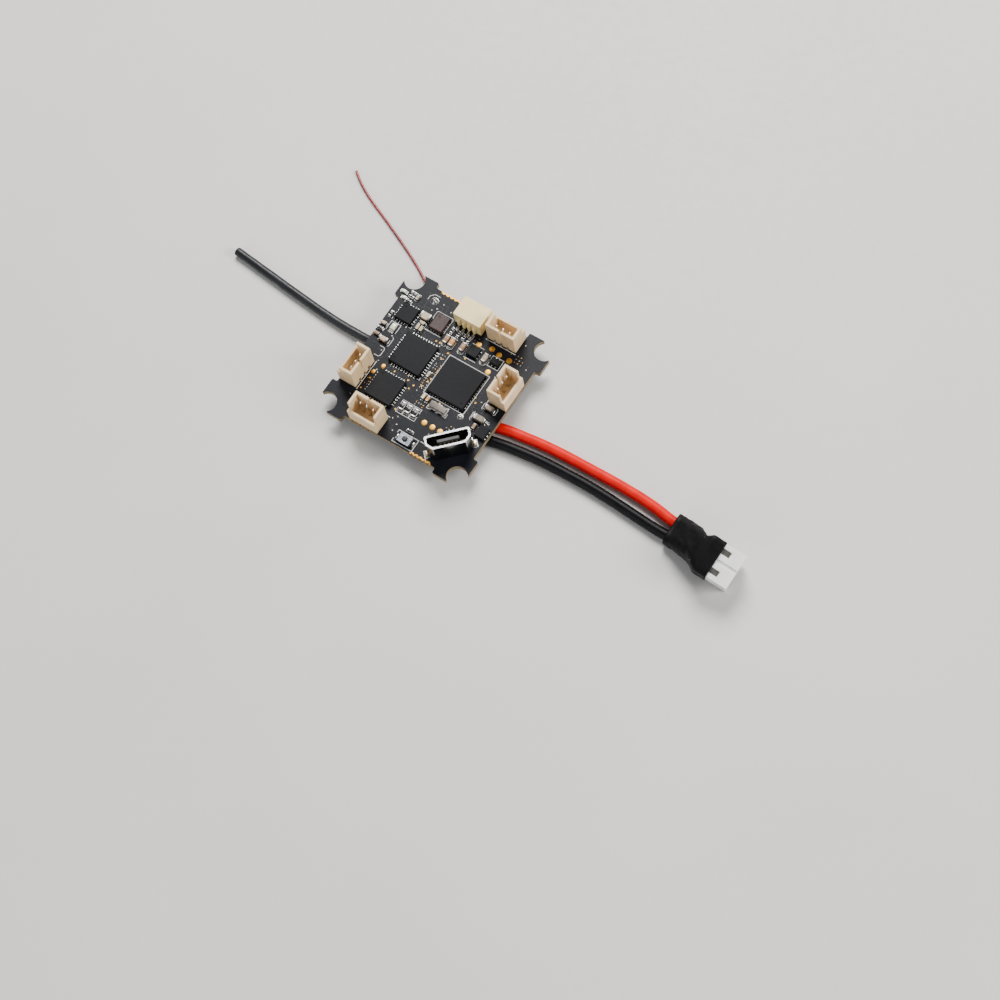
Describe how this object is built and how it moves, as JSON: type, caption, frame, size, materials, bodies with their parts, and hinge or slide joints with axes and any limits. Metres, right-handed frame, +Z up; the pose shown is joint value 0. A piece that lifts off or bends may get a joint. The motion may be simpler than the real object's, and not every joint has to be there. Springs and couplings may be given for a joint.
{
  "type": "flight controller board",
  "caption": "Square flight controller board for a small drone, with motor sockets, USB and camera sockets, boot button, battery leads with a plug, and antennas.",
  "frame": {"origin": "centre of the board in plan, on the surface that its underside parts stand on", "axes": "+Z up out of the component side; +X towards the edge where the battery leads leave; +Y towards the camera socket"},
  "size_m": [0.102, 0.0404, 0.0077],
  "materials": {
    "solder_mask": "semi-gloss",
    "gold_plating": "polished",
    "chip_epoxy": "fine matt",
    "sensor_epoxy": "fine matt",
    "resonator_lid": "satin",
    "diode_case": "satin",
    "ceramic_tan": "fired ceramic with tinned ends",
    "ceramic_brown": "fired ceramic with tinned ends",
    "resistor_black": "glazed, with tinned ends",
    "led_lens": "translucent",
    "socket_plastic": "moulded, fine texture",
    "pin_metal": "satin",
    "tinned_metal": "satin",
    "camera_plastic": "moulded, smooth",
    "shell_steel": "satin",
    "black_plastic": "semi-gloss",
    "solder": "bright, slightly grained",
    "ferrite": "grained",
    "tantalum_case": "moulded",
    "red_silicone": "soft satin",
    "black_silicone": "soft satin",
    "heat_shrink": "wrinkled, satin",
    "plug_plastic": "moulded nylon",
    "antenna_sleeve": "satin",
    "red_insulation": "smooth"
  },
  "bodies": {
    "board": {"circuit_board": "solder_mask", "edge_contacts": "gold_plating", "test_pads": "gold_plating", "main_processor": "chip_epoxy", "video_transmitter": "chip_epoxy", "display_chip": "chip_epoxy", "converter_chip": "chip_epoxy", "motion_sensor": "sensor_epoxy", "voltage_regulator": "chip_epoxy", "load_switch": "chip_epoxy", "resonator": "resonator_lid", "power_diode": "diode_case", "pass_transistor": "chip_epoxy", "large_capacitor": "ceramic_tan", "medium_capacitors": "ceramic_brown", "small_capacitors": "ceramic_tan", "resistors": "resistor_black", "status_led": "led_lens", "receiver_leds": "led_lens", "motor_socket_1": "socket_plastic", "motor_socket_2": "socket_plastic", "motor_socket_3": "socket_plastic", "motor_socket_4": "socket_plastic", "motor_pins": "pin_metal", "camera_socket": "camera_plastic", "camera_contacts": "pin_metal", "camera_socket_tabs": "tinned_metal", "usb_shell": "shell_steel", "usb_insulator": "black_plastic", "usb_contacts": "gold_plating", "button_base": "black_plastic", "button_terminals": "tinned_metal", "button_dome": "shell_steel", "button_cover": "shell_steel", "top_solder_joints": "solder", "power_transistors": "chip_epoxy", "motor_controllers": "chip_epoxy", "inductor_core": "ferrite", "inductor_terminals": "tinned_metal", "bulk_capacitors": "tantalum_case", "bulk_capacitor_terminals": "tinned_metal", "receiver_chip": "chip_epoxy", "reference_crystal": "resonator_lid", "transmitter_amplifier": "chip_epoxy", "underside_capacitors": "ceramic_brown", "underside_resistors": "resistor_black", "cord_solder_joints": "solder", "battery_lead_red": "red_silicone", "battery_lead_black": "black_silicone", "plug_sleeve": "heat_shrink", "battery_plug": "plug_plastic", "plug_pins": "gold_plating", "video_antenna": "antenna_sleeve", "receiver_antenna": "red_insulation"},
    "plunger": {"button_plunger": "black_plastic"}
  },
  "joints": [
    {"name": "boot_press", "type": "slide", "parent": "board", "child": "plunger", "axis": [0, 0, -1], "range_m": [0, 0.00012], "stiffness_N_per_m": 2500}
  ]
}
